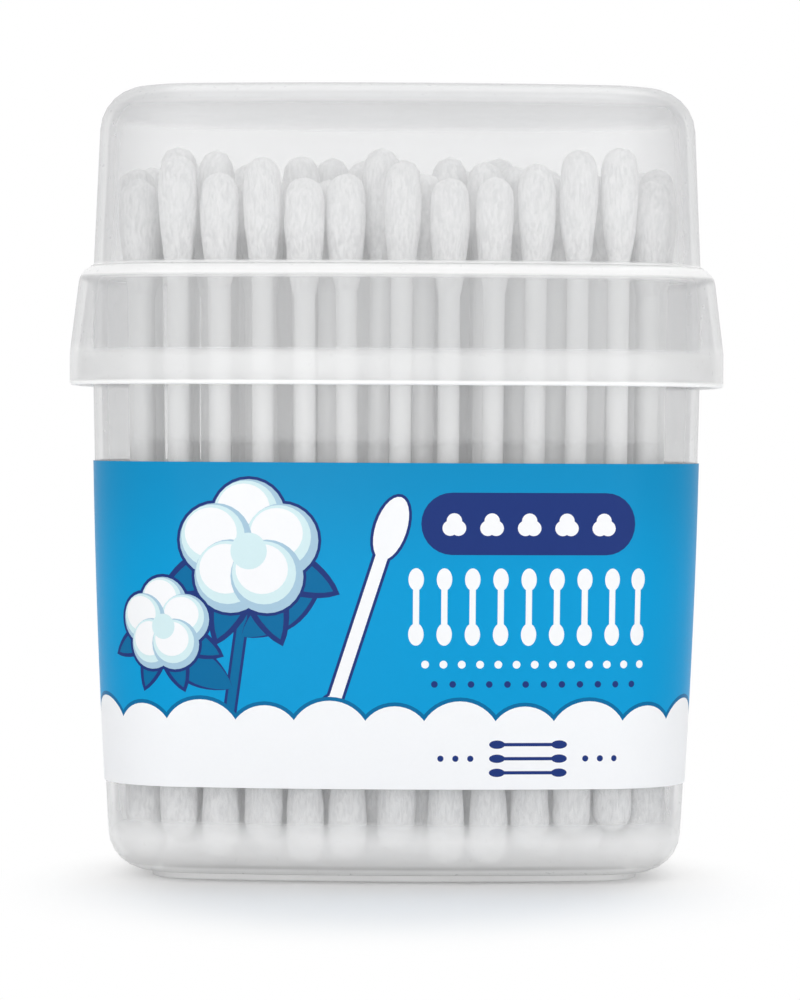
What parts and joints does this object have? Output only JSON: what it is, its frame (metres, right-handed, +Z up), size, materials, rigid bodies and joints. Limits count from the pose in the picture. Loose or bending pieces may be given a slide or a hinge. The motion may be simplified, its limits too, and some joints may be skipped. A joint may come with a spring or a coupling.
{
  "type": "cotton swab tub",
  "caption": "Translucent bowed tub filled with upright cotton swabs, wrapped in a printed film band, with a tall domed lid that lifts straight off.",
  "frame": {"origin": "on the surface that the tub stands on, under the middle of the tub", "axes": "+Z up; the front, with the printed picture, faces -Y; +X to the right, seen from the front"},
  "size_m": [0.0716, 0.05, 0.0855],
  "materials": {
    "frosted_tub": "translucent frosted polypropylene",
    "frosted_lid": "translucent frosted polypropylene",
    "printed_film": "printed film, satin, bright blue with white",
    "stick": "smooth white plastic",
    "cotton": "wound white cotton"
  },
  "bodies": {
    "tub": {"tub": "frosted_tub", "label": "printed_film", "ring_1_sticks": "stick", "ring_1_top_tips": "cotton", "ring_1_bottom_tips": "cotton", "ring_2_sticks": "stick", "ring_2_top_tips": "cotton", "ring_2_bottom_tips": "cotton", "ring_3_sticks": "stick", "ring_3_top_tips": "cotton", "ring_3_bottom_tips": "cotton", "ring_4_sticks": "stick", "ring_4_top_tips": "cotton", "ring_4_bottom_tips": "cotton", "ring_5_sticks": "stick", "ring_5_top_tips": "cotton", "ring_5_bottom_tips": "cotton"},
    "lid": {"lid": "frosted_lid"}
  },
  "joints": [
    {"name": "lid_lift", "type": "slide", "parent": "tub", "child": "lid", "axis": [0, 0, 1], "range_m": [0, 0.04]}
  ]
}
